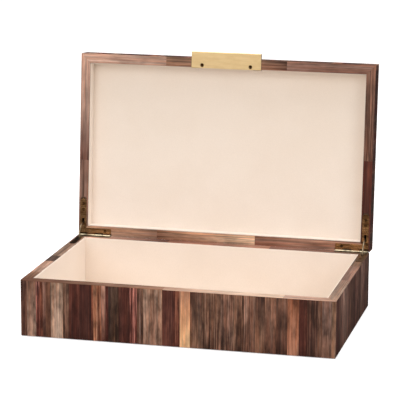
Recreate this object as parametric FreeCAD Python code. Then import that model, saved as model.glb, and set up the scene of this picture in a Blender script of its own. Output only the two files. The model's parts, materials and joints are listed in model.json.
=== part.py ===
"""Inlaid wooden box: a veneered tray with a hinged lid, cream linings, two brass quadrant hinges
and a flat brass pull. Millimetres, +Z up, front towards -Y, origin at the centre of the underside.

Every piece is first built with the lid shut. The lid and the quadrant arms are then turned about
the hinge axis to the open rest position before they are written."""

import FreeCAD
import Part
import math
import os
import random

Vector = FreeCAD.Vector

# Overall size, lid shut
WIDTH = 305.0
DEPTH = 188.0
CLOSED_HEIGHT = 76.0
LID_THICKNESS = 19.9
RIM_GAP = 0.1
OPEN_ANGLE = 95.0

# Build-up of the walls and panels
VENEER = 0.7
WALL_CORE = 8.7
LINING = 1.0
BASE_LINING_DROP = 0.4
LID_LINING_DROP = 1.2
FLOOR_CORE = 5.5
FLOOR_RABBET = 4.2
FLOOR_LINING = 1.2
LID_PANEL_CORE = 6.0
FELT = 0.8
FELT_INSET = 4.0
SEAM = 0.06
CHIP_VOLUME = 1.0

# Widths of the front inlay strips, left to right; the lid's front and top carry on the same strips
FRONT_STRIPS = [
    6, 9, 4, 3, 3, 5, 12, 2, 4, 10.5, 11.5, 2, 4, 4, 4, 3, 4, 6, 11, 7, 2, 1.5, 2.5,
    18.5, 12.5, 4.5, 10, 6.5, 5, 18, 12, 1, 7, 2, 6, 5, 9, 11, 10.5, 11, 7.5, 10, 4, 9, 4,
]
# Widths of the right-hand inlay strips, front to back; the last strip takes what is left
RIGHT_STRIPS = [5, 10, 10, 11, 13, 11, 8, 7, 9, 11, 10, 3, 12, 10, 8, 12, 10, 9, 11]
# The left and back strips vary between these widths
STRIP_MIN = 4.0
STRIP_MAX = 14.0
BACK_SEED = 11
LEFT_SEED = 23

# Butt joints along each rim band, measured from the left end or from the front end
BASE_RIM_JOINTS = {"front": [140, 255], "back": [98, 204], "left": [33, 75, 97], "right": [75, 131]}
LID_RIM_JOINTS = {"front": [90, 215], "back": [84, 187], "left": [110], "right": [96]}

# Quadrant hinge; its axis lies in the back face, midway between the rims
BARREL_RADIUS = 2.2
PIN_RADIUS = 0.9
PIN_CLEARANCE = 0.04
PIN_PROUD = 0.2
KNUCKLES = 4
KNUCKLE_GAP = 0.25
LEAF_THICKNESS = 1.8
LEAF_WIDTH = 6.8
LEAF_SIDE_MARGIN = 1.4
BACK_LEG_LENGTH = 35.0
BACK_LEG_REACH = 7.3
SIDE_LEG_LENGTH = 38.0
LEAF_CLEARANCE = 0.05
MORTISE_OVERRUN = 1.6
GROOVE_CLEARANCE = 0.3
GROOVE_END_ROOM = 0.4
SIDE_SCREWS = [26.5, 32.4]
BACK_SCREW_FROM_SIDE = 28.5
BACK_SCREW_FROM_AXIS = 4.8

# Quadrant arm and the slots it slides in
ARM_INNER = 11.2
ARM_OUTER = 13.4
ARM_HOOK_INNER = 9.9
ARM_THICKNESS = 1.0
ARM_HOOK_START = 12.8
ARM_HOOK_END = 17.2
SLOT_INNER = 10.8
SLOT_OUTER = 17.2
SLOT_WIDTH = 2.4
POCKET_WIDTH = 2.6
POCKET_NEAR = 3.6
POCKET_FAR = 17.4
POCKET_DEPTH = 12.6

# Countersunk screws: head radius, shank radius, length
HINGE_SCREW = (1.6, 0.9, 9.0)
PULL_SCREW = (1.9, 1.0, 11.0)
SCREW_SINK = 0.05
HOLE_CLEARANCE = 0.05
DRIVE_WIDTH = 0.45
DRIVE_DEPTH = 0.5
TIP_LENGTH = 2.5
TIP_SHARE = 0.15

# Brass pull on the lid's front rim
PULL_WIDTH = 72.0
PULL_PROJECTION = 6.4
PULL_OVERLAP = 0.6
PULL_THICKNESS = 3.0
PULL_EDGE = 0.3
PULL_END_GAP = 0.25
PULL_SCREW_X = 25.0
PULL_SCREW_INSET = 7.1

# How far a cutter runs past what it cuts, and how far joined shapes run into each other
CUT_PAST = 1.0
JOIN_PAST = 0.1

# Derived places
HALF_WIDTH = WIDTH / 2
HALF_DEPTH = DEPTH / 2
WALL = VENEER + WALL_CORE
BASE_TOP = CLOSED_HEIGHT - LID_THICKNESS - RIM_GAP
LID_BOTTOM = CLOSED_HEIGHT - LID_THICKNESS
AXIS_Y = HALF_DEPTH
AXIS_Z = BASE_TOP + RIM_GAP / 2
AXIS_POINT = Vector(0, AXIS_Y, AXIS_Z)
CORE_HALF_WIDTH = HALF_WIDTH - VENEER
CORE_HALF_DEPTH = HALF_DEPTH - VENEER
INNER_HALF_WIDTH = HALF_WIDTH - WALL
INNER_HALF_DEPTH = HALF_DEPTH - WALL
FLOOR_TOP = FELT + FLOOR_CORE
FLOOR_LINING_TOP = FLOOR_TOP + FLOOR_LINING
LID_PANEL_BOTTOM = CLOSED_HEIGHT - VENEER - LID_PANEL_CORE
ARM_X = HALF_WIDTH - LEAF_SIDE_MARGIN - LEAF_WIDTH / 2
LEAF_OUTER_X = HALF_WIDTH - LEAF_SIDE_MARGIN
LEAF_INNER_X = LEAF_OUTER_X - LEAF_WIDTH
BACK_LEG_END_X = HALF_WIDTH - BACK_LEG_LENGTH
KNUCKLE_PITCH = (LEAF_OUTER_X - BACK_LEG_END_X) / KNUCKLES
ALONG_X = Vector(1, 0, 0)
ALONG_Y = Vector(0, 1, 0)
ALONG_Z = Vector(0, 0, 1)


# ---- Plain shapes -------------------------------------------------------------------------------
def block(low, high):
    """A box between two corners."""
    size = [high[i] - low[i] for i in range(3)]
    return Part.makeBox(size[0], size[1], size[2], Vector(*low))


def prism(outline, z_low, z_high):
    """A plan outline carried up from z_low to z_high."""
    points = [Vector(x, y, z_low) for x, y in outline]
    face = Part.Face(Part.makePolygon(points + points[:1]))
    return face.extrude(Vector(0, 0, z_high - z_low))


def rod(radius, x_low, x_high):
    """A round bar along the hinge axis."""
    return Part.makeCylinder(radius, x_high - x_low, Vector(x_low, AXIS_Y, AXIS_Z), ALONG_X)


def mirror_left(shape):
    """The matching piece at the other end of the box."""
    return shape.mirror(Vector(0, 0, 0), ALONG_X)


def mirror_up(shape):
    """The matching piece on the other side of the parting plane."""
    return shape.mirror(AXIS_POINT, ALONG_Z)


def frame_outlines(half_x, half_y, thickness):
    """Four mitred plan outlines that make one rectangular frame."""
    in_x = half_x - thickness
    in_y = half_y - thickness
    return {
        "front": [(-half_x, -half_y), (half_x, -half_y), (in_x, -in_y), (-in_x, -in_y)],
        "back": [(half_x, half_y), (-half_x, half_y), (-in_x, in_y), (in_x, in_y)],
        "left": [(-half_x, half_y), (-half_x, -half_y), (-in_x, -in_y), (-in_x, in_y)],
        "right": [(half_x, -half_y), (half_x, half_y), (in_x, in_y), (in_x, -in_y)],
    }


def frame_pieces(half_x, half_y, thickness, z_low, z_high):
    """The four mitred members of a frame, as solids by side."""
    outlines = frame_outlines(half_x, half_y, thickness)
    return {side: prism(outline, z_low, z_high) for side, outline in outlines.items()}


# ---- Inlay strips -------------------------------------------------------------------------------
def random_widths(total, seed):
    """Strip widths that fill a face, the same each time for one seed."""
    chance = random.Random(seed)
    widths = []
    left = total
    while left > STRIP_MAX + STRIP_MIN:
        widths.append(round(chance.uniform(STRIP_MIN, STRIP_MAX) * 2) / 2)
        left -= widths[-1]
    return widths + [left]


def strips(widths, start, make):
    """Edge to edge strips from start, with a hairline seam; make(a, b) builds one from a to b."""
    pieces = []
    for index, width in enumerate(widths):
        low = start if index == 0 else start + SEAM / 2
        high = start + width if index == len(widths) - 1 else start + width - SEAM / 2
        pieces.append(make(low, high))
        start += width
    return pieces


def upright_inlays(z_low, z_high):
    """The four outer faces of a wall ring: front and back run past the ends of the sides."""
    side_y = HALF_DEPTH - VENEER

    def front(a, b):
        return block((a, -HALF_DEPTH, z_low), (b, -HALF_DEPTH + VENEER, z_high))

    def back(a, b):
        return block((a, HALF_DEPTH - VENEER, z_low), (b, HALF_DEPTH, z_high))

    def left(a, b):
        return block((-HALF_WIDTH, a, z_low), (-HALF_WIDTH + VENEER, b, z_high))

    def right(a, b):
        return block((HALF_WIDTH - VENEER, a, z_low), (HALF_WIDTH, b, z_high))

    side_length = 2 * side_y
    return {
        "front": strips(FRONT_STRIPS, -HALF_WIDTH, front),
        "back": strips(random_widths(WIDTH, BACK_SEED), -HALF_WIDTH, back),
        "left": strips(random_widths(side_length, LEFT_SEED), -side_y, left),
        "right": strips(RIGHT_STRIPS + [side_length - sum(RIGHT_STRIPS)], -side_y, right),
    }


def rim_band(joints, z_low, z_high):
    """Veneer laid lengthwise along each rim member, mitred at the corners and butted at joints."""
    bands = {}
    for side, member in frame_pieces(HALF_WIDTH, HALF_DEPTH, WALL, z_low, z_high).items():
        lengthwise = side in ("front", "back")
        half = HALF_WIDTH if lengthwise else HALF_DEPTH
        ends = [0] + joints[side] + [2 * half]
        widths = [b - a for a, b in zip(ends, ends[1:])]

        def piece(a, b):
            if lengthwise:
                keep = block((a, -DEPTH, z_low), (b, DEPTH, z_high))
            else:
                keep = block((-WIDTH, a, z_low), (WIDTH, b, z_high))
            return member.common(keep)

        bands[side] = strips(widths, -half, piece)
    return bands


# ---- Screws -------------------------------------------------------------------------------------
def screw(kind, x, y, z, down=True):
    """A slotted countersunk wood screw with its head just below height z."""
    head, shank, length = kind
    cone = head - shank
    top = z - SCREW_SINK
    body = Part.makeCone(shank, head, cone, Vector(x, y, top - cone), ALONG_Z)
    straight = length - cone - TIP_LENGTH
    body = body.fuse(Part.makeCylinder(shank, straight, Vector(x, y, top - cone - straight)))
    tip = Part.makeCone(shank * TIP_SHARE, shank, TIP_LENGTH, Vector(x, y, top - length))
    body = body.fuse(tip)
    half = DRIVE_WIDTH / 2
    slot = block((x - head, y - half, top - DRIVE_DEPTH), (x + head, y + half, top + CUT_PAST))
    body = body.cut(slot).removeSplitter()
    return body if down else body.mirror(Vector(0, 0, z), ALONG_Z)


def screw_hole(kind, x, y, z, down=True):
    """The matching countersunk hole, a hair wider than the screw."""
    head, shank, length = kind
    wide = head + HOLE_CLEARANCE
    narrow = shank + HOLE_CLEARANCE
    cone = wide - narrow
    hole = Part.makeCone(narrow, wide, cone, Vector(x, y, z - SCREW_SINK - cone), ALONG_Z)
    hole = hole.fuse(Part.makeCylinder(wide, CUT_PAST + SCREW_SINK, Vector(x, y, z - SCREW_SINK)))
    depth = length + HOLE_CLEARANCE
    hole = hole.fuse(Part.makeCylinder(narrow, depth - cone, Vector(x, y, z - SCREW_SINK - depth)))
    return hole if down else hole.mirror(Vector(0, 0, z), ALONG_Z)


# ---- Quadrant hinge, built at the right-hand end of the base -----------------------------------
def leaf_outline(grow=0.0, overrun=0.0):
    """The L-shaped plate, with a rounded end on its side leg. For the mortise it is grown a little
    all round, and overruns the rounded end."""
    z_low = BASE_TOP - LEAF_THICKNESS
    front_y = AXIS_Y - BACK_LEG_REACH - grow
    end_y = AXIS_Y - SIDE_LEG_LENGTH + LEAF_WIDTH / 2 - overrun
    side = block((LEAF_INNER_X - grow, end_y, z_low), (LEAF_OUTER_X + grow, AXIS_Y, BASE_TOP))
    end = Part.makeCylinder(LEAF_WIDTH / 2 + grow, LEAF_THICKNESS, Vector(ARM_X, end_y, z_low))
    back = block((BACK_LEG_END_X - grow, front_y, z_low), (LEAF_OUTER_X + grow, AXIS_Y, BASE_TOP))
    return side.fuse([end, back]).removeSplitter()


def knuckle_span(index):
    """Where one knuckle starts and ends along the axis, counted from the inner end."""
    start = BACK_LEG_END_X + index * KNUCKLE_PITCH
    return start + KNUCKLE_GAP / 2, start + KNUCKLE_PITCH - KNUCKLE_GAP / 2


def hinge_screw_places():
    """Plan places of the three screws in one leaf."""
    places = [(ARM_X, AXIS_Y - reach) for reach in SIDE_SCREWS]
    return places + [(HALF_WIDTH - BACK_SCREW_FROM_SIDE, AXIS_Y - BACK_SCREW_FROM_AXIS)]


def leaf(own_knuckles):
    """Plate and knuckles of one base leaf; own_knuckles are the ones it carries."""
    plate = leaf_outline()
    room = BARREL_RADIUS + GROOVE_CLEARANCE
    tubes = []
    for index in range(KNUCKLES):
        x_low, x_high = knuckle_span(index)
        if index in own_knuckles:
            tubes.append(rod(BARREL_RADIUS, x_low, x_high))
        else:
            low = (x_low - KNUCKLE_GAP, AXIS_Y - room, AXIS_Z - BARREL_RADIUS - CUT_PAST)
            high = (x_high + KNUCKLE_GAP, AXIS_Y + CUT_PAST, BASE_TOP + CUT_PAST)
            plate = plate.cut(block(low, high))
    body = plate.fuse(tubes)
    bore = rod(PIN_RADIUS + PIN_CLEARANCE, BACK_LEG_END_X - CUT_PAST, LEAF_OUTER_X + CUT_PAST)
    body = body.cut(bore)
    for x, y in hinge_screw_places():
        body = body.cut(screw_hole(HINGE_SCREW, x, y, BASE_TOP))
    return body.cut(arm_slot()).removeSplitter()


def arm_slot():
    """The slot through the plate for the quadrant arm."""
    half = SLOT_WIDTH / 2
    low = (ARM_X - half, AXIS_Y - SLOT_OUTER, BASE_TOP - LEAF_THICKNESS - CUT_PAST)
    return block(low, (ARM_X + half, AXIS_Y - SLOT_INNER, BASE_TOP + CUT_PAST))


def hinge_cutter():
    """What is cut from the base's wood: plate mortise, barrel groove, arm pocket and screw holes."""
    ends = (BACK_LEG_END_X - GROOVE_END_ROOM, LEAF_OUTER_X + GROOVE_END_ROOM)
    groove = rod(BARREL_RADIUS + GROOVE_CLEARANCE, *ends)
    half = POCKET_WIDTH / 2
    pocket = block(
        (ARM_X - half, AXIS_Y - POCKET_FAR, AXIS_Z - POCKET_DEPTH),
        (ARM_X + half, AXIS_Y - POCKET_NEAR, BASE_TOP),
    )
    holes = [screw_hole(HINGE_SCREW, x, y, BASE_TOP) for x, y in hinge_screw_places()]
    mortise = leaf_outline(LEAF_CLEARANCE, MORTISE_OVERRUN)
    return mortise.fuse([groove, pocket] + holes)


def hinge_pin():
    """The pin, proud of the barrel by a little at each end."""
    return rod(PIN_RADIUS, BACK_LEG_END_X - PIN_PROUD, LEAF_OUTER_X + PIN_PROUD)


def arc_band(inner, outer, from_angle, to_angle):
    """A flat arc about the hinge axis; angle 0 points to the front and 90 points up."""
    thickness = ARM_THICKNESS

    def at(radius, degrees):
        turn = math.radians(degrees)
        y = AXIS_Y - radius * math.cos(turn)
        return Vector(ARM_X - thickness / 2, y, AXIS_Z + radius * math.sin(turn))

    middle = (from_angle + to_angle) / 2
    edges = [
        Part.Arc(at(outer, from_angle), at(outer, middle), at(outer, to_angle)).toShape(),
        Part.makeLine(at(outer, to_angle), at(inner, to_angle)),
        Part.Arc(at(inner, to_angle), at(inner, middle), at(inner, from_angle)).toShape(),
        Part.makeLine(at(inner, from_angle), at(outer, from_angle)),
    ]
    return Part.Face(Part.Wire(edges)).extrude(Vector(thickness, 0, 0))


def quadrant_arm():
    """The curved stay, centred on the parting plane, with an inward hook at each end."""
    start = OPEN_ANGLE / 2 + ARM_HOOK_START
    end = OPEN_ANGLE / 2 + ARM_HOOK_END
    arm = arc_band(ARM_INNER, ARM_OUTER, -end, end)
    hooks = [
        arc_band(ARM_HOOK_INNER, ARM_INNER + JOIN_PAST, start, end),
        arc_band(ARM_HOOK_INNER, ARM_INNER + JOIN_PAST, -end, -start),
    ]
    return arm.fuse(hooks).removeSplitter()


def hinge_nodes():
    """Both hinges as (base nodes, lid nodes, arm nodes)."""
    odd = [index for index in range(KNUCKLES) if index % 2]
    even = [index for index in range(KNUCKLES) if index % 2 == 0]
    base_leaf = leaf(odd)
    lid_leaf = mirror_up(leaf(even))
    places = hinge_screw_places()
    base_screws = [screw(HINGE_SCREW, x, y, BASE_TOP) for x, y in places]
    lid_screws = [mirror_up(piece) for piece in base_screws]
    base = {"hinge_base_leaf": [base_leaf], "hinge_pin": [hinge_pin()], "hinge_base_screws": base_screws}
    lid = {"hinge_lid_leaf": [lid_leaf], "hinge_lid_screws": lid_screws}
    arms = {"quadrant_arm": [quadrant_arm()]}
    return [both_ends(group) for group in (base, lid, arms)]


def both_ends(nodes):
    """Right-hand nodes and their mirror images as left-hand nodes."""
    pair = {}
    for name, pieces in nodes.items():
        pair[name + "_right"] = pieces
        pair[name + "_left"] = [mirror_left(piece) for piece in pieces]
    return pair


# ---- Brass pull ---------------------------------------------------------------------------------
def pull_body(end_gap=0.0, back_gap=0.0):
    """The flat plate let into the lid's front rim, over the edge of the lining, and standing out
    in front. For its mortise it is grown a little at the ends and the back."""
    half = PULL_WIDTH / 2 + end_gap
    back_y = -INNER_HALF_DEPTH + PULL_OVERLAP + back_gap
    low = (-half, -HALF_DEPTH - PULL_PROJECTION, LID_BOTTOM)
    return block(low, (half, back_y, LID_BOTTOM + PULL_THICKNESS))


def pull_screw_places():
    """Plan places of the two screws in the pull."""
    y = -HALF_DEPTH + PULL_SCREW_INSET
    return [(-PULL_SCREW_X, y), (PULL_SCREW_X, y)]


def pull_nodes():
    """The plate with its countersunk holes, and its screws."""
    body = pull_body()
    front = [edge for edge in body.Edges if edge.BoundBox.YMax < -HALF_DEPTH - PULL_EDGE]
    body = body.makeChamfer(PULL_EDGE, front)
    places = pull_screw_places()
    for x, y in places:
        body = body.cut(screw_hole(PULL_SCREW, x, y, LID_BOTTOM, down=False))
    screws = [screw(PULL_SCREW, x, y, LID_BOTTOM, down=False) for x, y in places]
    return {"pull_plate": [body], "pull_screws": screws}


def pull_cutter():
    """The mortise and screw holes that the pull needs in the lid's front member."""
    holes = [
        screw_hole(PULL_SCREW, x, y, LID_BOTTOM, down=False) for x, y in pull_screw_places()
    ]
    return pull_body(PULL_END_GAP, LEAF_CLEARANCE).fuse(holes)


# ---- Base ---------------------------------------------------------------------------------------
def base_core():
    """The four mitred walls with their floor rabbet, and the floor panel."""
    half_x = INNER_HALF_WIDTH + FLOOR_RABBET
    half_y = INNER_HALF_DEPTH + FLOOR_RABBET
    floor = block((-half_x, -half_y, FELT), (half_x, half_y, FLOOR_TOP))
    walls = frame_pieces(CORE_HALF_WIDTH, CORE_HALF_DEPTH, WALL_CORE, FELT, BASE_TOP - VENEER)
    nodes = {f"base_{side}_wall": [wall.cut(floor)] for side, wall in walls.items()}
    nodes["base_floor"] = [floor]
    return nodes


def base_linings():
    """Lined boards on the floor and the four inner faces."""
    top = BASE_TOP - BASE_LINING_DROP
    boards = lining_boards(FLOOR_LINING_TOP, top)
    low = (-INNER_HALF_WIDTH, -INNER_HALF_DEPTH, FLOOR_TOP)
    floor = block(low, (INNER_HALF_WIDTH, INNER_HALF_DEPTH, FLOOR_LINING_TOP))
    nodes = {f"base_{side}_lining": [board] for side, board in boards.items()}
    nodes["base_floor_lining"] = [floor]
    return nodes


def lining_boards(z_low, z_high):
    """Four thin boards round an opening: front and back full length, sides between them."""
    x = INNER_HALF_WIDTH
    y = INNER_HALF_DEPTH
    return {
        "front": block((-x, -y, z_low), (x, -y + LINING, z_high)),
        "back": block((-x, y - LINING, z_low), (x, y, z_high)),
        "left": block((-x, -y + LINING, z_low), (-x + LINING, y - LINING, z_high)),
        "right": block((x - LINING, -y + LINING, z_low), (x, y - LINING, z_high)),
    }


def base_felt():
    """The felt sheet under the floor, set in from the edges."""
    x = HALF_WIDTH - FELT_INSET
    y = HALF_DEPTH - FELT_INSET
    return {"base_felt": [block((-x, -y, 0), (x, y, FELT))]}


def base_nodes():
    """Everything wooden and lined in the base, before the hinges are let in."""
    nodes = base_core()
    for side, pieces in upright_inlays(FELT, BASE_TOP - VENEER).items():
        nodes[f"base_{side}_inlay"] = pieces
    for side, pieces in rim_band(BASE_RIM_JOINTS, BASE_TOP - VENEER, BASE_TOP).items():
        nodes[f"base_{side}_rim"] = pieces
    nodes.update(base_linings())
    nodes.update(base_felt())
    return nodes


# ---- Lid ----------------------------------------------------------------------------------------
def lid_core():
    """The mitred rails and the panel glued over them."""
    rails = frame_pieces(
        CORE_HALF_WIDTH, CORE_HALF_DEPTH, WALL_CORE, LID_BOTTOM + VENEER, LID_PANEL_BOTTOM
    )
    nodes = {f"lid_{side}_rail": [rail] for side, rail in rails.items()}
    low = (-CORE_HALF_WIDTH, -CORE_HALF_DEPTH, LID_PANEL_BOTTOM)
    high = (CORE_HALF_WIDTH, CORE_HALF_DEPTH, CLOSED_HEIGHT - VENEER)
    nodes["lid_panel"] = [block(low, high)]
    return nodes


def lid_linings():
    """The lined panel inside the lid and the narrow boards round it."""
    panel_low = LID_PANEL_BOTTOM - FLOOR_LINING
    boards = lining_boards(LID_BOTTOM + LID_LINING_DROP, panel_low)
    nodes = {f"lid_{side}_lining": [board] for side, board in boards.items()}
    low = (-INNER_HALF_WIDTH, -INNER_HALF_DEPTH, panel_low)
    high = (INNER_HALF_WIDTH, INNER_HALF_DEPTH, LID_PANEL_BOTTOM)
    nodes["lid_panel_lining"] = [block(low, high)]
    return nodes


def lid_top_inlay():
    """Strips running front to back over the whole top, in line with the front strips."""
    z_low = CLOSED_HEIGHT - VENEER

    def piece(a, b):
        return block((a, -HALF_DEPTH, z_low), (b, HALF_DEPTH, CLOSED_HEIGHT))

    return {"lid_top_inlay": strips(FRONT_STRIPS, -HALF_WIDTH, piece)}


def lid_nodes():
    """Everything wooden and lined in the lid, before the hinges and the pull are let in."""
    nodes = lid_core()
    for side, pieces in upright_inlays(LID_BOTTOM + VENEER, CLOSED_HEIGHT - VENEER).items():
        nodes[f"lid_{side}_inlay"] = pieces
    for side, pieces in rim_band(LID_RIM_JOINTS, LID_BOTTOM, LID_BOTTOM + VENEER).items():
        nodes[f"lid_{side}_rim"] = pieces
    nodes.update(lid_linings())
    nodes.update(lid_top_inlay())
    return nodes


# ---- Letting the metalwork in, and writing ------------------------------------------------------
def cut_all(nodes, cutters):
    """Cuts every piece that a cutter reaches, and drops chips too small to stay glued down."""
    for pieces in nodes.values():
        for index, piece in enumerate(pieces):
            for cutter in cutters:
                if piece.BoundBox.intersect(cutter.BoundBox):
                    piece = piece.cut(cutter)
            sound = [solid for solid in piece.Solids if solid.Volume > CHIP_VOLUME]
            pieces[index] = sound[0] if len(sound) == 1 else Part.makeCompound(sound)


def turned(nodes, degrees):
    """The same nodes turned about the hinge axis; a negative turn opens."""
    moved = {}
    for name, pieces in nodes.items():
        copies = [piece.copy() for piece in pieces]
        for piece in copies:
            piece.rotate(AXIS_POINT, ALONG_X, degrees)
        moved[name] = copies
    return moved


def write(nodes):
    """One STEP file a node, holding its separate solids."""
    os.makedirs("parts", exist_ok=True)
    for name, pieces in nodes.items():
        solids = [solid for piece in pieces for solid in piece.Solids]
        shape = solids[0] if len(solids) == 1 else Part.makeCompound(solids)
        shape.exportStep(f"parts/{name}.step")


def main():
    base = base_nodes()
    lid = lid_nodes()
    hinge_base, hinge_lid, arms = hinge_nodes()
    right = hinge_cutter()
    left = mirror_left(right)
    cut_all(base, [right, left])
    cut_all(lid, [mirror_up(right), mirror_up(left), pull_cutter()])
    base.update(hinge_base)
    lid.update(hinge_lid)
    lid.update(pull_nodes())
    write(base)
    write(turned(lid, -OPEN_ANGLE))
    write(turned(arms, -OPEN_ANGLE / 2))


main()
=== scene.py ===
import json
import math
import random

import bmesh
import bpy
from mathutils import Matrix, Vector, noise

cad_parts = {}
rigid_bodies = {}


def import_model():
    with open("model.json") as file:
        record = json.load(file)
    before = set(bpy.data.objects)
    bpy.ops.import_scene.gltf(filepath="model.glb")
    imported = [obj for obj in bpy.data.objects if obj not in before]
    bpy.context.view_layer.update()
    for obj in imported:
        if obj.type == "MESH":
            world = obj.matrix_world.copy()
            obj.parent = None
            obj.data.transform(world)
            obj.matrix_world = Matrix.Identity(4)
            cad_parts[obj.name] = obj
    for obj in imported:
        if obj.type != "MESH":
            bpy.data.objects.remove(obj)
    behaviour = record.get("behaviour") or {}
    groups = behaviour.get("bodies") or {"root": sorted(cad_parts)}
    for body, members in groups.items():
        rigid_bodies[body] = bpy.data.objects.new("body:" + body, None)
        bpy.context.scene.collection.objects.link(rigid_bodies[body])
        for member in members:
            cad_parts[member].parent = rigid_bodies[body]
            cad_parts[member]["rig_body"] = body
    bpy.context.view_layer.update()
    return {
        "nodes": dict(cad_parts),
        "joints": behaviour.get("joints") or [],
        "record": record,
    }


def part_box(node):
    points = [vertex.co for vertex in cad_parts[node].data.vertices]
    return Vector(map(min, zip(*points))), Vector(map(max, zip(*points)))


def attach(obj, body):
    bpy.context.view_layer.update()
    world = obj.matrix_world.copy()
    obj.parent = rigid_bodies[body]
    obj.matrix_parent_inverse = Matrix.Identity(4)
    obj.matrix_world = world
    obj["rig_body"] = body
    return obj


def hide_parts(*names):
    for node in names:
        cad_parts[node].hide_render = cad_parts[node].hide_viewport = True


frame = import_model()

# An inlaid wooden box, open at rest. Every CAD node is replaced by a piece of the same shape with eased
# edges and its own material, apart from the wood behind the veneer, which keeps its CAD mesh.

MM = 0.001
X, Y, Z = 0, 1, 2
WHITE = (1.0, 1.0, 1.0, 1.0)

# Camera: a long lens, a little to the right of the front and above the box. Its turn is in degrees and
# its lens in millimetres
CAMERA_PLACE = Vector((0.4664, -1.8995, 0.5659))
CAMERA_TURN = (77.21, -0.19, 13.83)
CAMERA_LENS = 185.9
CAMERA_CLIP = (0.05, 60.0)

# Each light: its place, the point it faces, its side in metres and its power in watts
LIGHTS = {
    "key": ((-0.8, -2.5, 1.7), (0, 0, 0.1), 2.0, 32.5),
    "top": ((0.0, 0.2, 2.4), (0, 0, 0.0), 1.6, 37.0),
    "fill": ((2.0, -1.2, 1.6), (0, 0, 0.05), 1.6, 24.0),
}

# The surroundings' strength on matt surfaces, and what reflections see in front, behind and overhead
SURROUND = 0.36
FRONT_CARD = 1.0
BACK_ROOM = 0.03
CEILING = 0.8

# The floor: half its side in metres, its cells along a side, its colour, its colour in reflections and
# its glow to the camera
FLOOR_REACH = 12.0
FLOOR_CELLS = 8
FLOOR_COLOUR = (0.93, 0.93, 0.93, 1.0)
FLOOR_MIRRORED = (0.1, 0.1, 0.1, 1.0)
FLOOR_GLOW = 0.5

# Ranges of noise that a change is spread over: the narrower the range, the stronger the contrast
NARROW = (0.35, 0.65)
MIDDLE = (0.3, 0.7)
LOOSE = (0.25, 0.75)
WIDE = (0.2, 0.8)

# Edge rounding, by kind of piece
WOOD_EASE = 0.16 * MM
METAL_EASE = 0.14 * MM
PULL_EASE = 0.3 * MM
SCREW_EASE = 0.06 * MM
LINING_EASE = 0.32 * MM
FELT_EASE = 0.3 * MM
HARD_SEGMENTS = 2
SOFT_SEGMENTS = 4

# Mesh clean-up: an edge sharper than this is eased, and a flatter one than this is dissolved
SHARP_ANGLE = math.radians(32)
FLAT_ANGLE = math.radians(0.4)
WELD = 0.002 * MM

# The back edges of the base and the lid meet at the hinge's axis: they are found within this reach of
# it, and drawn to within this hair of it
PARTING_REACH = 0.3 * MM
PARTING_HAIR = 0.005 * MM

# Cloth-covered boards: the size of their cells, how far their faces sink, and the waves they sink in, as
# cells in a metre and share of the depth
LINING_CELL = 9 * MM
LINING_SINK = 0.10 * MM
FELT_CELL = 12 * MM
FELT_SINK = 0.06 * MM
WAVES = ((38.0, 0.7), (110.0, 0.3))

# Lining colours, and the painted shade that darkens them towards the lid's free edge and, by a share of that,
# on the tray's floor
CREAM = (246, 232, 219)
CREAM_SHADE = (243, 228, 214)
CREAM_PAINTED_SHADE = (0.82, 0.79, 0.75, 1.0)
FLOOR_SHADE_SHARE = 0.8
FLOOR_SHADE_FADE = 2 * MM

# Suede: its layers in cells to the metre, how they darken and lighten it, and the height of its nap
PATCH_CELLS = 22.0
NAP_CELLS = 900.0
WEAVE_CELLS = 2600.0
NAP_SHADE = (0.965, 1.02)
WEAVE_SHADE = (0.98, 1.01)
NAP_HEIGHT = 0.12 * MM

# Felt: its colours, its clumps in cells to the metre, and their height
FELT_DARK = (58, 44, 38)
FELT_LIGHT = (82, 64, 56)
CLUMP_CELLS = 300.0
CLUMP_HEIGHT = 0.3 * MM

# The wood behind the veneer: its colours, painted dark as the shade deep in the mortises, its layers in
# cells to the metre along X and across it, how the fibres darken and lighten it, and their height
CORE_SHADED_LIGHT = (116, 86, 60)
CORE_SHADED_DARK = (88, 62, 43)
RING_CELLS = (12.0, 180.0, 180.0)
FIBRE_CELLS = (60.0, 1400.0, 1400.0)
FIBRE_SHADE = (0.88, 1.08)
FIBRE_HEIGHT = 0.1 * MM

# Hinge barrels: just over their radius, the soft edge of the mask, and the way their painted highlight faces
BARREL_REACH = 2.25 * MM
BARREL_FADE = 0.2 * MM
HIGHLIGHT_FACES = (0.0, -0.92, 0.39)

# The cosines, from the way the painted highlight faces, between which the painted shade and the painted
# highlight come in
PAINTED_SHADE_COMES_IN = (0.0, 0.6)
HIGHLIGHT_COMES_IN = (0.94, 0.995)

# Along the painted highlight, its strength changes with this many cells to the metre, partly as wear and
# partly as uneven painted light, and never falls below this share
HIGHLIGHT_WEAR_CELLS = (110.0, 0.0, 0.0)
HIGHLIGHT_WEAR_RANGE = (0.35, 0.6)
LEAST_HIGHLIGHT_WEAR = 0.35

# Brass: its layers in cells to the metre along X and across it, its dark specks, the height of its
# brushing, how much the brushing and the tarnish roughen it, and the colour of the highlight painted on a
# barrel
FINE_BRUSH = (40.0, 2600.0, 2600.0)
WORN_BRUSH = (40.0, 1100.0, 1100.0)
TARNISH_CELLS = (70.0, 220.0, 220.0)
SPECK_CELLS = 1500.0
SPECK_RANGE = (0.66, 0.80)
SPECK_SHADE = 0.80
BRUSH_HEIGHT = 0.02 * MM
ROUGHENING = 0.10
BARREL_HIGHLIGHT = (184, 170, 142)

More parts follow.
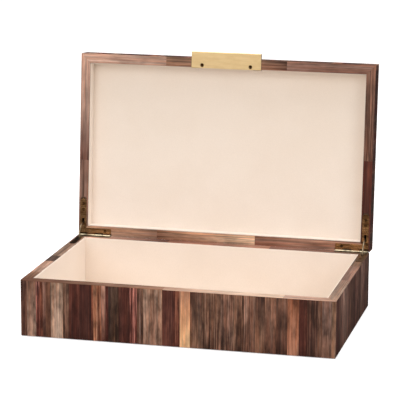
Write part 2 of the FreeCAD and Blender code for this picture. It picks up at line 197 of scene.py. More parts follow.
# Each brass: light colour, dark colour, brush, brush contrast, roughness, how far the dark colour
# reaches, and the colour of the highlight painted on its barrels if it has one
BRASSES = {
    "satin_brass": ((224, 194, 144), (204, 168, 118), FINE_BRUSH, 0.06, 0.34, 0.35, None),
    "aged_brass": ((164, 122, 82), (82, 52, 28), WORN_BRUSH, 0.4, 0.18, 0.9, BARREL_HIGHLIGHT),
    # The base leaf's brass is the hinge brass painted darker, as painted shade where the leaf lies edge-on
    # under the barrel
    "shaded_leaf_brass": ((76, 54, 34), (42, 28, 15), WORN_BRUSH, 0.25, 0.24, 0.9, BARREL_HIGHLIGHT),
    "worn_brass": ((140, 124, 102), (96, 80, 58), WORN_BRUSH, 0.12, 0.3, 0.5, None),
    "screw_brass": ((88, 60, 34), (42, 28, 16), FINE_BRUSH, 0.1, 0.35, 0.8, None),
}

# Metal parts: CAD node, piece, edge rounding and brass. A hinge part comes on the left and on the right
PULL_PARTS = [
    ("pull_plate", "finger_pull", PULL_EASE, "satin_brass"),
    ("pull_screws", "finger_pull_screws", SCREW_EASE, "screw_brass"),
]
HINGE_PARTS = [
    ("hinge_base_leaf", "base_leaf", METAL_EASE, "shaded_leaf_brass"),
    ("hinge_lid_leaf", "lid_leaf", METAL_EASE, "aged_brass"),
    ("hinge_pin", "pin", METAL_EASE, "worn_brass"),
    ("quadrant_arm", "arm", METAL_EASE, "worn_brass"),
    ("hinge_base_screws", "base_screws", SCREW_EASE, "screw_brass"),
    ("hinge_lid_screws", "lid_screws", SCREW_EASE, "screw_brass"),
]

# Veneer figure, layer by layer: cells in a millimetre across the grain and along it, how much a layer
# changes from strip to strip, then the noise's detail and roughness
FIGURE = {
    "wander": ((0.06, 0.025, 1.0), 2.0, 0.5),
    "broad": ((0.45, 0.020, 1.0), 3.0, 0.5),
    "fine": ((0.9, 0.016, 1.0), 5.0, 0.68),
    "blotch": ((0.14, 0.050, 2.0), 3.0, 0.6),
    "hair": ((6.0, 0.10, 1.0), 2.0, 0.5),
    "pores": ((2.0, 0.045, 1.3), 4.0, 0.6),
    "hue": ((0.5, 0.020, 3.0), 2.0, 0.5),
}

# How far apart two strips' figures lie in the noise, and how far the grain wanders, in millimetres
STRIP_STEP = 7.3
WANDER_WIDTH = 0.8

# Streaks: the broad layer's share in them, where they set in, and the colour's casts and saturation
BROAD_SHARE = 0.45
STREAK_RANGE = (0.47, 0.59)
COOL_CAST = (0.93, 1.01, 1.05, 1.0)
WARM_CAST = (1.07, 0.98, 0.93, 1.0)
VENEER_DEPTH = 1.05

# Brightness: what clouds, fibres and pores do to it, and how little they do on a tone with few streaks
CLOUD_RANGE = (0.34, 0.66)
HAIR_SHADE = (0.88, 1.10)
PORE_RANGE = (0.56, 0.68)
PORE_SHADE = 0.60
LIVELY_RANGE = (0.2, 0.6)
CALM_SHARE = 0.35

# The lacquer's roughness over the fibres, and the height of the grain under it
HAIR_ROUGHNESS = (0.40, 0.54)
GRAIN_HEIGHT = 0.05 * MM

# Each veneer: how much its brightness changes from line to line, how much it drifts, and its brightness.
# The rims' figure is also drawn out along the grain
STRIP_VENEER = ("strip_veneer", 0.50, 0.55, 0.90)
RIM_VENEER = ("rim_veneer", 0.65, 0.30, 1.0)
RIM_STRETCH = 1.5

# Each tone: colour at the top, left or front end, colour at the other end, streak colour, and how much
# it streaks. On the upright strips the change from top to bottom is partly the wood's own and partly
# painted shade, darker towards the bottom. A tone that isn't in the lists below can still come up on the back
# and the left
TONES = {
    "umber": ((84, 56, 46), (74, 48, 40), (112, 80, 66), 0.5),
    "dark": ((72, 46, 37), (60, 38, 31), (96, 66, 54), 0.4),
    "charcoal": ((62, 45, 38), (58, 40, 32), (90, 68, 56), 0.4),
    "olive_brown": ((84, 60, 48), (72, 49, 38), (112, 86, 68), 0.5),
    "maroon": ((80, 44, 36), (70, 38, 32), (102, 62, 50), 0.4),
    "deep_maroon": ((70, 38, 32), (64, 36, 30), (88, 52, 43), 0.35),
    "wine": ((92, 50, 42), (74, 39, 33), (126, 76, 64), 0.5),
    "wine_streak": ((84, 46, 38), (92, 50, 42), (176, 118, 106), 0.7),
    "russet": ((112, 66, 50), (94, 54, 44), (146, 94, 76), 0.5),
    "rust": ((128, 80, 60), (92, 50, 38), (168, 116, 92), 0.5),
    "copper": ((152, 102, 78), (136, 86, 67), (186, 136, 108), 0.6),
    "honey": ((186, 132, 104), (220, 174, 132), (166, 116, 90), 0.35),
    "tan": ((150, 112, 90), (140, 104, 84), (108, 76, 60), 0.5),
    "light_taupe": ((166, 129, 108), (152, 117, 99), (90, 60, 48), 0.75),
    "taupe": ((136, 100, 82), (102, 70, 57), (78, 50, 40), 0.7),
    "grey_taupe": ((124, 94, 82), (118, 88, 74), (86, 60, 50), 0.6),
    "rosy_taupe": ((130, 94, 80), (96, 64, 54), (74, 46, 38), 0.6),
    "rosy_brown": ((120, 86, 71), (84, 56, 45), (146, 110, 93), 0.6),
    "mid_brown": ((116, 83, 66), (80, 53, 42), (142, 106, 88), 0.6),
    "umber_fade": ((78, 52, 42), (126, 90, 71), (100, 68, 55), 0.5),
    "brown": ((92, 62, 49), (94, 65, 52), (122, 88, 71), 0.5),
    "brown_fade": ((108, 76, 62), (68, 42, 33), (90, 62, 50), 0.5),
    "brown_rising": ((98, 68, 56), (148, 112, 92), (80, 54, 44), 0.5),
    "wine_rising": ((80, 44, 36), (96, 56, 46), (116, 72, 60), 0.4),
    "copper_rising": ((134, 84, 62), (160, 112, 90), (110, 68, 50), 0.5),
    "pale": ((166, 131, 110), (168, 138, 119), (112, 80, 65), 0.6),
    "pale_fade": ((162, 128, 114), (92, 62, 52), (110, 80, 68), 0.5),
    "pale_below": ((114, 82, 67), (170, 135, 116), (90, 60, 48), 0.6),
    "pink_fade": ((182, 134, 114), (68, 36, 29), (120, 76, 62), 0.5),
    "mauve": ((140, 106, 92), (148, 114, 98), (104, 74, 64), 0.6),
    "reddish": ((140, 102, 86), (188, 142, 120), (96, 62, 50), 0.6),
    "salmon": ((134, 95, 76), (240, 200, 168), (122, 84, 68), 0.6),
    "dusty_taupe": ((166, 138, 120), (144, 114, 98), (112, 82, 68), 0.7),
    "dusty_mauve": ((146, 114, 102), (128, 98, 84), (96, 68, 57), 0.7),
    "dusty_brown": ((118, 92, 76), (92, 68, 52), (78, 54, 42), 0.6),
    "dusty_tan": ((194, 156, 130), (158, 122, 103), (108, 75, 60), 0.6),
    "dusty_pink": ((198, 162, 144), (172, 138, 120), (124, 92, 78), 0.6),
    "rosy_tan": ((164, 122, 106), (154, 114, 98), (112, 78, 66), 0.7),
    "cream_tan": ((180, 144, 124), (230, 202, 180), (150, 116, 98), 0.4),
    "smoke": ((92, 72, 64), (84, 66, 58), (60, 46, 40), 0.6),
    "mauve_brown": ((142, 108, 94), (134, 99, 85), (92, 62, 52), 0.7),
    "pink_to_wine": ((206, 166, 146), (92, 62, 54), (126, 92, 78), 0.5),
}

# Tones strip by strip, from the left or from the front
FRONT_TONES = [
    "umber", "pale_below", "wine_streak", "russet", "rosy_taupe", "brown", "pale", "mid_brown", "taupe",
    "maroon", "deep_maroon", "russet", "copper", "rust", "pink_fade", "wine", "charcoal", "olive_brown",
    "maroon", "wine_streak", "brown", "mauve", "brown", "light_taupe", "wine_rising", "russet", "honey",
    "umber_fade", "brown_rising", "mid_brown", "rosy_brown", "tan", "mid_brown", "mid_brown",
    "rosy_brown", "taupe", "umber_fade", "taupe", "brown_fade", "copper_rising", "maroon", "umber",
    "brown", "grey_taupe", "tan",
]
RIGHT_TONES = [
    "umber", "maroon", "umber", "rosy_taupe", "pale_fade", "grey_taupe", "rosy_taupe", "umber", "brown",
    "umber", "dark", "maroon", "rosy_taupe", "umber", "dark", "grey_taupe", "rosy_taupe", "umber",
    "umber", "dark",
]
RIM_TONES = {
    "base_front_rim": ["brown_rising", "cream_tan", "dusty_pink"],
    "base_back_rim": ["pink_to_wine", "reddish", "mauve"],
    "base_left_rim": ["brown_rising", "dusty_pink", "smoke", "dusty_taupe"],
    "base_right_rim": ["dusty_taupe", "dusty_mauve", "dusty_brown"],
    "lid_front_rim": ["dusty_pink", "tan", "mid_brown", "mauve_brown"],
    "lid_back_rim": ["dusty_tan", "salmon", "reddish"],
    "lid_left_rim": ["pink_to_wine", "mauve"],
    "lid_right_rim": ["rosy_brown", "maroon"],
}

# The back and the left take random tones, without the bright ones, and the lid's right edge takes dark
# ones. Each list is longer than a face has strips, and each has its own seed
DARK_TONES = ["dark", "umber", "charcoal", "deep_maroon"]
BRIGHT_TONES = {"salmon", "honey", "pink_fade"}
MOST_STRIPS = 60
BACK_SEED = 5
LEFT_SEED = 8
LID_RIGHT_SEED = 3


# ---- The frame's facts ---------------------------------------------------------------------------
def lid_joint():
    """The joint that the lid turns on."""
    return next(joint for joint in frame["joints"] if joint["name"] == "lid_hinge")


def closing_turn(body):
    """The matrix that carries the base or the lid from its open rest place to the shut box."""
    joint = lid_joint()
    angle = math.radians(joint["range_deg"][1]) if body == "lid" else 0.0
    pivot = Matrix.Translation(Vector(joint["pos_m"]))
    return pivot @ Matrix.Rotation(angle, 4, "X") @ pivot.inverted()


def body_of(node):
    """The body a CAD node rides on."""
    return frame["nodes"][node]["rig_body"]


def slot_of(node):
    """The record's material slot for a node."""
    return next(part["material_slot"] for part in frame["record"]["subparts"] if part["node"] == node)


# ---- Mesh work -----------------------------------------------------------------------------------
def welded(node):
    """A CAD node's mesh with its split corners joined and its flat faces whole."""
    bm = bmesh.new()
    bm.from_mesh(frame["nodes"][node].data)
    bmesh.ops.remove_doubles(bm, verts=bm.verts, dist=WELD)
    bmesh.ops.dissolve_limit(bm, angle_limit=FLAT_ANGLE, verts=bm.verts, edges=bm.edges)
    return bm


def beside_axis(vert):
    """Whether a vertex is on one of the two edges that meet at the back, beside the hinge's axis."""
    return (vert.co - Vector(lid_joint()["pos_m"])).yz.length < PARTING_REACH


def close_parting_edge(bm, body):
    """Draws a body's back edge to within a hair of the hinge's axis, where base and lid meet in every
    pose, so that no light shows between them."""
    away = Vector((0.0, 0.0, PARTING_HAIR if body == "lid" else -PARTING_HAIR))
    place = closing_turn(body).inverted() @ (Vector(lid_joint()["pos_m"]) + away)
    for vert in bm.verts:
        if beside_axis(vert):
            vert.co = (vert.co.x, place.y, place.z)


def ease_edges(bm, width, segments=HARD_SEGMENTS):
    """Rounds every sharp edge by a small width, apart from the two that meet beside the hinge's axis."""
    sharp = [e for e in bm.edges if e.is_manifold and e.calc_face_angle(0) > SHARP_ANGLE]
    sharp = [e for e in sharp if not all(beside_axis(vert) for vert in e.verts)]
    bmesh.ops.bevel(
        bm, geom=sharp, offset=width, segments=segments, profile=0.5, affect="EDGES", clamp_overlap=True
    )


def islands(bm):
    """The separate solids in a mesh, each as a list of its vertices."""
    groups = []
    for vert in bm.verts:
        vert.tag = False
    for start in bm.verts:
        if start.tag:
            continue
        start.tag = True
        group = [start]
        # The list grows while it is walked, until the whole solid is in it
        for vert in group:
            for edge in vert.link_edges:
                other = edge.other_vert(vert)
                if not other.tag:
                    other.tag = True
                    group.append(other)
        groups.append(group)
    return groups


def make_piece(bm, name, node, material):
    """Turns a finished mesh into a piece that stands for a CAD node and rides with its body."""
    mesh = bpy.data.meshes.new(name)
    bm.to_mesh(mesh)
    bm.free()
    for polygon in mesh.polygons:
        polygon.use_smooth = True
    mesh.materials.append(material)
    piece = bpy.data.objects.new(name, mesh)
    bpy.context.scene.collection.objects.link(piece)
    smooth = piece.modifiers.new("flat faces stay flat", "WEIGHTED_NORMAL")
    smooth.keep_sharp = True
    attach(piece, body_of(node))
    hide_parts(node)


# ---- Node trees ----------------------------------------------------------------------------------
def new_material(name):
    """A new node material, its tree and its Principled shader."""
    material = bpy.data.materials.new(name)
    material.use_nodes = True
    tree = material.node_tree
    return material, tree, tree.nodes["Principled BSDF"]


def feed(tree, socket, value):
    """Gives an input socket a number or a vector, or links another node's output to it."""
    if isinstance(value, bpy.types.NodeSocket):
        tree.links.new(value, socket)
    else:
        socket.default_value = value


def put(tree, kind, inputs=None, **settings):
    """Adds a node, with its settings and its inputs by name or number."""
    node = tree.nodes.new("ShaderNode" + kind)
    for key, value in settings.items():
        setattr(node, key, value)
    for key, value in (inputs or {}).items():
        feed(tree, node.inputs[key], value)
    return node


def connect(tree, shader, **values):
    """Sets the shader's inputs by name, with underscores for spaces."""
    for key, value in values.items():
        feed(tree, shader.inputs[key.replace("_", " ")], value)


def attribute(tree, name):
    """The outputs of a named mesh attribute."""
    return put(tree, "Attribute", attribute_name=name).outputs


def object_place(tree):
    """The place of the shaded point in the frame, with the lid open."""
    return put(tree, "TexCoord").outputs["Object"]


def scaled(tree, vector, scale):
    """A vector times a scale for each axis."""
    return put(tree, "VectorMath", {0: vector, 1: scale}, operation="MULTIPLY").outputs[0]


def noise_value(tree, place, cells, detail=2.0, roughness=0.5):
    """Soft noise from 0 to 1, with its cells to the unit given for each axis or once for all three."""
    cells = cells if isinstance(cells, tuple) else (cells, cells, cells)
    inputs = {"Vector": scaled(tree, place, cells), "Scale": 1.0, "Detail": detail, "Roughness": roughness}
    return put(tree, "TexNoise", inputs).outputs["Fac"]


def remap(tree, value, low, high, to_low=0.0, to_high=1.0, smooth=True):
    """Carries low..high to to_low..to_high and clamps."""
    inputs = {"Value": value, "From Min": low, "From Max": high, "To Min": to_low, "To Max": to_high}
    kind = "SMOOTHSTEP" if smooth else "LINEAR"
    return put(tree, "MapRange", inputs, interpolation_type=kind).outputs[0]


def maths(tree, operation, a, b):
    """One arithmetic step on two values."""
    return put(tree, "Math", {0: a, 1: b}, operation=operation).outputs[0]


def mix_colours(tree, factor, a, b, blend="MIX"):
    """Mixes two colours. The colour version of the Mix node has them in its sockets 6 and 7."""
    return put(tree, "Mix", {0: factor, 6: a, 7: b}, data_type="RGBA", blend_type=blend).outputs[2]


def multiplied(tree, colour, shade, share=1.0):
    """A colour times a shade or another colour."""
    return mix_colours(tree, share, colour, shade, blend="MULTIPLY")


def bump(tree, height, depth, strength):
    """A bump from a height between 0 and 1, depth metres deep."""
    return put(tree, "Bump", {"Height": height, "Distance": depth, "Strength": strength}).outputs[0]


def linear(colour):
    """An 8-bit screen colour as linear red, green, blue and alpha 1."""
    def channel(value):
        value /= 255
        return value / 12.92 if value <= 0.04045 else ((value + 0.055) / 1.055) ** 2.4
    return tuple(channel(value) for value in colour) + (1.0,)


# ---- Wood ----------------------------------------------------------------------------------------
def veneer_material(name, streaking, clouding, brightness):
    """Satin-lacquered veneer; every strip brings its own tone, streak colour and grain coordinates."""
    material, tree, shader = new_material(name)
    grain = attribute(tree, "grain")["Vector"]
    tone = attribute(tree, "tone")["Color"]
    streak = attribute(tree, "streak")["Color"]
    amount = attribute(tree, "streak")["Alpha"]

    def layer(kind, place):
        return noise_value(tree, place, *FIGURE[kind])

    # The grain wanders sideways, and every layer of the figure follows it
    sideways = remap(tree, layer("wander", grain), 0.0, 1.0, -WANDER_WIDTH, WANDER_WIDTH, smooth=False)
    shift = put(tree, "CombineXYZ", {"X": sideways}).outputs[0]
    bent = put(tree, "VectorMath", {0: grain, 1: shift}, operation="ADD").outputs[0]
    broad, fine, blotch, hair, pores, hue = (
        layer(kind, bent) for kind in ("broad", "fine", "blotch", "hair", "pores", "hue")
    )

    # Streaks, then a cooler or warmer cast
    broad_part = maths(tree, "MULTIPLY", broad, BROAD_SHARE)
    fine_part = maths(tree, "MULTIPLY", fine, 1.0 - BROAD_SHARE)
    line = remap(tree, maths(tree, "ADD", broad_part, fine_part), *STREAK_RANGE)
    colour = mix_colours(tree, maths(tree, "MULTIPLY", line, amount), tone, streak)
    cool = multiplied(tree, colour, COOL_CAST)
    warm = multiplied(tree, colour, WARM_CAST)
    colour = mix_colours(tree, remap(tree, hue, *NARROW), cool, warm)

    # Brightness: lines, drifting clouds, fibres and dark pores, all fainter where the tone streaks little
    shade = remap(tree, fine, *NARROW, 1.0 - streaking, 1.0 + streaking, smooth=False)
    cloud = remap(tree, blotch, *CLOUD_RANGE, 1.0 - clouding, 1.0 + clouding, smooth=False)
    shade = maths(tree, "MULTIPLY", shade, cloud)
    shade = maths(tree, "MULTIPLY", shade, remap(tree, hair, *WIDE, *HAIR_SHADE, smooth=False))
    shade = maths(tree, "MULTIPLY", shade, remap(tree, pores, *PORE_RANGE, 1.0, PORE_SHADE))
    colour = multiplied(tree, colour, shade, remap(tree, amount, *LIVELY_RANGE, CALM_SHARE, 1.0))
    depth = {"Saturation": VENEER_DEPTH, "Value": brightness, "Color": colour}
    colour = put(tree, "HueSaturation", depth).outputs[0]

    rough = remap(tree, hair, *WIDE, *HAIR_ROUGHNESS, smooth=False)
    height = maths(tree, "ADD", maths(tree, "MULTIPLY", hair, 0.5), maths(tree, "MULTIPLY", fine, 0.5))
    connect(
        tree, shader, Base_Color=colour, Roughness=rough, Specular_IOR_Level=0.12,
        Normal=bump(tree, height, GRAIN_HEIGHT, strength=0.5),
    )
    return material


def veneer_piece(node, name, tones, row_axis, grain_axis, cross_axis, material, stretch=1.0):
    """A veneered face or band. Its solids lie in a row along one axis of the shut box, and solid n takes
    tone n. The grain runs along the grain axis, and the figure changes quickly along the cross axis."""
    bm = welded(node)
    ease_edges(bm, WOOD_EASE)
    close_parting_edge(bm, body_of(node))
    grain_layer = bm.verts.layers.float_vector.new("grain")
    tone_layer = bm.verts.layers.float_color.new("tone")
    streak_layer = bm.verts.layers.float_color.new("streak")
    close = closing_turn(body_of(node))
    places = {vert: close @ vert.co for vert in bm.verts}

    def middle(group):
        values = [places[vert][row_axis] for vert in group]
        return (min(values) + max(values)) / 2

    for index, group in enumerate(sorted(islands(bm), key=middle)):
        *colours, amount = TONES[tones[index]]
        first, last, line = (linear(colour) for colour in colours)
        ends = [places[vert][grain_axis] for vert in group]
        low, high = min(ends), max(ends)
        for vert in group:
            place = places[vert]
            part = (place[grain_axis] - low) / (high - low)
            part = 1 - part if grain_axis == Z else part
            # The tone runs from end to end; on upright strips this is partly painted shade, darker towards
            # the bottom
            vert[tone_layer] = [a + (b - a) * part for a, b in zip(first, last)]
            vert[streak_layer] = (*line[:3], amount)
            along = place[grain_axis] / MM / stretch
            vert[grain_layer] = (place[cross_axis] / MM, along, index * STRIP_STEP)
    make_piece(bm, name, node, material)


def random_tones(count, seed, choices):
    """Tones for a face that isn't listed strip by strip; neighbours differ."""
    chance = random.Random(seed)
    tones = [chance.choice(choices)]
    while len(tones) < count:
        pick = chance.choice(choices)
        if pick != tones[-1]:
            tones.append(pick)
    return tones


def build_inlay(material):
    """The upright strips on all outer faces and the strips on the lid's top."""
    everyday = sorted(set(TONES) - BRIGHT_TONES)
    back = random_tones(MOST_STRIPS, BACK_SEED, everyday)
    left = random_tones(MOST_STRIPS, LEFT_SEED, everyday)
    lid_right = random_tones(MOST_STRIPS, LID_RIGHT_SEED, DARK_TONES)
    faces = [
        ("base_front_inlay", FRONT_TONES, X), ("lid_front_inlay", FRONT_TONES, X),
        ("base_back_inlay", back, X), ("lid_back_inlay", back, X),
        ("base_left_inlay", left, Y), ("lid_left_inlay", left, Y),
        ("base_right_inlay", RIGHT_TONES, Y), ("lid_right_inlay", lid_right, Y),
    ]
    for node, tones, row in faces:
        veneer_piece(node, node + "_strips", tones, row, Z, row, material)
    veneer_piece("lid_top_inlay", "lid_top_inlay_strips", FRONT_TONES, X, Y, X, material)


def build_rims(material):
    """The lengthwise bands on both rims."""
    for node, tones in RIM_TONES.items():
        along, across = (X, Y) if "front" in node or "back" in node else (Y, X)
        veneer_piece(node, node + "_bands", tones, along, along, across, material, RIM_STRETCH)


def core_material():
    """Plain unlacquered wood, seen only inside the mortises and from underneath. Its colours are painted
    dark, as the shade inside the mortises.
    """
    material, tree, shader = new_material("core_wood")
    place = object_place(tree)
    rings = noise_value(tree, place, RING_CELLS, detail=4.0)
    fibre = noise_value(tree, place, FIBRE_CELLS)
    colour = mix_colours(tree, remap(tree, rings, *MIDDLE), linear(CORE_SHADED_LIGHT), linear(CORE_SHADED_DARK))
    colour = multiplied(tree, colour, remap(tree, fibre, *WIDE, *FIBRE_SHADE, smooth=False))
    relief = bump(tree, fibre, FIBRE_HEIGHT, strength=0.6)
    connect(tree, shader, Base_Color=colour, Roughness=0.7, Normal=relief)
    return material


def build_core(material):
    """Walls, rails, floor and panel keep their CAD shape."""
    for name, node in frame["nodes"].items():
        if slot_of(name) == "core_wood":
            node.data.materials.clear()
            node.data.materials.append(material)


# ---- Lining and felt -----------------------------------------------------------------------------
def painted_lining_shade(tree, place):
    """What the lining's colour is multiplied by: painted shade that darkens it slowly towards the lid's free
    edge, and darkens it on the tray's floor."""
    height = put(tree, "SeparateXYZ", {0: place}).outputs["Z"]
    tray_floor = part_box("base_floor_lining")[1].z
    panel_low, panel_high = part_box("lid_panel_lining")
    on_floor = remap(tree, height, tray_floor, tray_floor + FLOOR_SHADE_FADE, FLOOR_SHADE_SHARE, 0.0)
    up_lid = remap(tree, height, panel_low.z, panel_high.z, smooth=False)
    return mix_colours(tree, maths(tree, "MAXIMUM", on_floor, up_lid), WHITE, CREAM_PAINTED_SHADE)


def lining_material():
    """Cream suede cloth: a soft nap with faint brushed patches and a fine weave under it."""
    material, tree, shader = new_material("cream_suede")
    place = object_place(tree)
    patches = noise_value(tree, place, PATCH_CELLS, detail=3.0)
    nap = noise_value(tree, place, NAP_CELLS, detail=3.0, roughness=0.7)
    weave = noise_value(tree, place, WEAVE_CELLS, detail=1.0)
    colour = mix_colours(tree, remap(tree, patches, *MIDDLE), linear(CREAM), linear(CREAM_SHADE))
    # Painted shade: darker towards the lid's free edge and on the tray's floor
    colour = multiplied(tree, colour, painted_lining_shade(tree, place))
    nap_shade = remap(tree, nap, *LOOSE, *NAP_SHADE, smooth=False)
    weave_shade = remap(tree, weave, *LOOSE, *WEAVE_SHADE, smooth=False)
    colour = multiplied(tree, colour, maths(tree, "MULTIPLY", nap_shade, weave_shade))
    connect(
        tree, shader, Base_Color=colour, Roughness=0.92, Specular_IOR_Level=0.15, Sheen_Weight=0.25,
        Sheen_Roughness=0.6, Normal=bump(tree, nap, NAP_HEIGHT, strength=0.5),
    )
    return material


def felt_material():
    """Dark matted felt."""
    material, tree, shader = new_material("dark_felt")
    clumps = noise_value(tree, object_place(tree), CLUMP_CELLS, detail=5.0, roughness=0.7)
    colour = mix_colours(tree, remap(tree, clumps, *MIDDLE), linear(FELT_DARK), linear(FELT_LIGHT))
    connect(
        tree, shader, Base_Color=colour, Roughness=0.98, Sheen_Weight=0.4, Specular_IOR_Level=0.1,
        Normal=bump(tree, clumps, CLUMP_HEIGHT, strength=0.8),
    )
    return material


def cut_into_cells(bm, node, cell):
    """Cuts a board across all three axes, so that its faces have vertices to move."""
    low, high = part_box(node)
    for axis in (X, Y, Z):
        normal = Vector([1.0 if i == axis else 0.0 for i in range(3)])
        count = int((high[axis] - low[axis]) / cell)
        for step in range(1, count):
            point = low.copy()
            point[axis] = low[axis] + (high[axis] - low[axis]) * step / count
            everything = bm.verts[:] + bm.edges[:] + bm.faces[:]
            bmesh.ops.bisect_plane(bm, geom=everything, plane_co=point, plane_no=normal)


def soft_piece(node, name, ease, cell, sink, material):
    """A cloth-covered board: rolled edges and faces that sink unevenly by up to sink."""
    bm = welded(node)
    ease_edges(bm, ease, SOFT_SEGMENTS)
    cut_into_cells(bm, node, cell)
    bm.normal_update()
    moves = []
    for vert in bm.verts:
        wave = sum(noise.noise(vert.co * cells) * share for cells, share in WAVES)
        moves.append(vert.normal * (abs(wave) * -sink))
    for vert, move in zip(bm.verts, moves):
        vert.co += move
    make_piece(bm, name, node, material)


def build_linings(material):
    """Every lined board in the base and the lid."""
    for node in sorted(frame["nodes"]):
        if node.endswith("_lining"):
            soft_piece(node, node + "_cloth", LINING_EASE, LINING_CELL, LINING_SINK, material)


# ---- Metal ---------------------------------------------------------------------------------------
def barrel_painted_light(tree, place):
    """Two masks for the barrels, both 0 on the plates: painted shade over the side towards the inside of the
    box, and a painted highlight along it, uneven along its length partly as wear."""
    pivot = lid_joint()["pos_m"]
    centre = (0.0, pivot[1], pivot[2])
    offset = put(tree, "VectorMath", {0: place, 1: centre}, operation="SUBTRACT").outputs[0]
    round_axis = scaled(tree, offset, (0.0, 1.0, 1.0))
    reach = put(tree, "VectorMath", {0: round_axis}, operation="LENGTH").outputs["Value"]
    heading = put(tree, "VectorMath", {0: round_axis}, operation="NORMALIZE").outputs[0]
    facing = put(tree, "VectorMath", {0: heading, 1: HIGHLIGHT_FACES}, operation="DOT_PRODUCT").outputs["Value"]
    skin = remap(tree, reach, BARREL_REACH, BARREL_REACH + BARREL_FADE, 1.0, 0.0)
    highlight_wear = remap(tree, noise_value(tree, place, HIGHLIGHT_WEAR_CELLS), *HIGHLIGHT_WEAR_RANGE, LEAST_HIGHLIGHT_WEAR, 1.0)
    # Painted shade over the barrel's inner side, then a thin painted highlight along it
    painted_shade = maths(tree, "MULTIPLY", skin, remap(tree, facing, *PAINTED_SHADE_COMES_IN))
    line = maths(tree, "MULTIPLY", highlight_wear, remap(tree, facing, *HIGHLIGHT_COMES_IN))
    return painted_shade, maths(tree, "MULTIPLY", skin, line)


def brass_material(name):
    """Brass brushed along X, with cloudy tarnish and specks."""
    light, dark, brush, contrast, rough, patina, highlight_colour = BRASSES[name]
    material, tree, shader = new_material(name)
    place = object_place(tree)
    lines = noise_value(tree, place, brush, detail=3.0, roughness=0.6)
    clouds = noise_value(tree, place, TARNISH_CELLS, detail=4.0, roughness=0.6)
    specks = noise_value(tree, place, SPECK_CELLS)
    tarnish = maths(tree, "MULTIPLY", remap(tree, clouds, *NARROW), patina)
    colour = mix_colours(tree, tarnish, linear(light), linear(dark))
    if highlight_colour:
        # On the barrels, painted shade darkens the side towards the inside of the box, and a painted
        # highlight runs along it
        painted_shade, line = barrel_painted_light(tree, place)
        colour = mix_colours(tree, painted_shade, colour, linear(dark))
        colour = mix_colours(tree, line, colour, linear(highlight_colour))
    line_shade = remap(tree, lines, *MIDDLE, 1.0 - contrast, 1.0 + contrast, smooth=False)
    speck_shade = remap(tree, specks, *SPECK_RANGE, 1.0, SPECK_SHADE)
    colour = multiplied(tree, colour, maths(tree, "MULTIPLY", line_shade, speck_shade))
    unevenness = maths(tree, "MULTIPLY", maths(tree, "ADD", lines, tarnish), ROUGHENING)
    connect(
        tree, shader, Base_Color=colour, Metallic=1.0, Roughness=maths(tree, "ADD", rough, unevenness),
        Normal=bump(tree, lines, BRUSH_HEIGHT, strength=0.35),
    )
    return material


def metal_piece(node, name, ease, material):
    """A CAD metal part with its edges eased."""
    bm = welded(node)
    ease_edges(bm, ease)
    make_piece(bm, name, node, material)


def build_metal():
    """The pull, both hinges, their pins, the arms and every screw."""
    materials = {name: brass_material(name) for name in BRASSES}
    for node, name, ease, brass in PULL_PARTS:
        metal_piece(node, name, ease, materials[brass])
    for side in ("left", "right"):
        for node, name, ease, brass in HINGE_PARTS:
            metal_piece(f"{node}_{side}", f"{name}_{side}", ease, materials[brass])


# ---- Stage ---------------------------------------------------------------------------------------
def build_floor():
    """A pale floor that runs far enough to fill the view. It glows a little towards the camera, as a
    white sweep does when it is lit from below, and it is dim in reflections, so that dark wood stays dark."""
    bm = bmesh.new()
    bmesh.ops.create_grid(bm, x_segments=FLOOR_CELLS, y_segments=FLOOR_CELLS, size=FLOOR_REACH)
    mesh = bpy.data.meshes.new("floor")
    bm.to_mesh(mesh)
    bm.free()
    material, tree, shader = new_material("pale_floor")
    rays = put(tree, "LightPath").outputs
    colour = mix_colours(tree, rays["Is Glossy Ray"], FLOOR_COLOUR, FLOOR_MIRRORED)
    glow = maths(tree, "MULTIPLY", rays["Is Camera Ray"], FLOOR_GLOW)
    connect(
        tree, shader, Base_Color=colour, Roughness=0.9, Specular_IOR_Level=0.0, Emission_Color=WHITE,
        Emission_Strength=glow,
    )
    mesh.materials.append(material)
    floor = bpy.data.objects.new("floor", mesh)
    bpy.context.scene.collection.objects.link(floor)


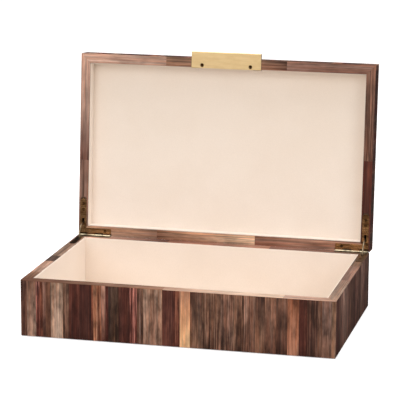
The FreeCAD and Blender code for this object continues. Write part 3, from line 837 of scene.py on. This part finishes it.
def area_light(name, place, target, size, power):
    """A soft square light aimed at a point."""
    light = bpy.data.lights.new(name, "AREA")
    light.shape = "SQUARE"
    light.size = size
    light.energy = power
    lamp = bpy.data.objects.new(name, light)
    lamp.location = place
    lamp.rotation_euler = (Vector(target) - Vector(place)).to_track_quat("-Z", "Y").to_euler()
    bpy.context.scene.collection.objects.link(lamp)


def build_surroundings():
    """White surroundings that light softly. Reflections see them bright in front and overhead and dim
    behind, like white cards in a dark room, and the camera sees them plain white."""
    world = bpy.data.worlds.new("studio")
    bpy.context.scene.world = world
    world.use_nodes = True
    tree = world.node_tree
    rays = put(tree, "LightPath").outputs
    heading = put(tree, "SeparateXYZ", {0: put(tree, "TexCoord").outputs["Generated"]}).outputs
    in_front = remap(tree, heading["Y"], -0.3, 0.4, FRONT_CARD, BACK_ROOM)
    overhead = remap(tree, heading["Z"], 0.4, 0.9, BACK_ROOM, CEILING)
    mirrored = maths(tree, "MAXIMUM", in_front, overhead)
    lighting = put(tree, "Mix", {0: rays["Is Glossy Ray"], 2: SURROUND, 3: mirrored}).outputs[0]
    strength = put(tree, "Mix", {0: rays["Is Camera Ray"], 2: lighting, 3: 1.0}).outputs[0]
    background = tree.nodes["Background"]
    feed(tree, background.inputs["Color"], WHITE)
    feed(tree, background.inputs["Strength"], strength)


def build_light():
    """The surroundings and three broad lights, seen without any film look."""
    build_surroundings()
    for name, settings in LIGHTS.items():
        area_light(name, *settings)
    bpy.context.scene.view_settings.view_transform = "Standard"
    bpy.context.scene.view_settings.look = "None"


def build_camera():
    """The long lens that gives the flat, nearly parallel view."""
    data = bpy.data.cameras.new("camera")
    data.lens = CAMERA_LENS
    data.clip_start, data.clip_end = CAMERA_CLIP
    camera = bpy.data.objects.new("camera", data)
    camera.location = CAMERA_PLACE
    camera.rotation_euler = [math.radians(angle) for angle in CAMERA_TURN]
    bpy.context.scene.collection.objects.link(camera)
    bpy.context.scene.camera = camera


build_inlay(veneer_material(*STRIP_VENEER))
build_rims(veneer_material(*RIM_VENEER))
build_core(core_material())
build_linings(lining_material())
soft_piece("base_felt", "felt_sheet", FELT_EASE, FELT_CELL, FELT_SINK, felt_material())
build_metal()
build_floor()
build_light()
build_camera()
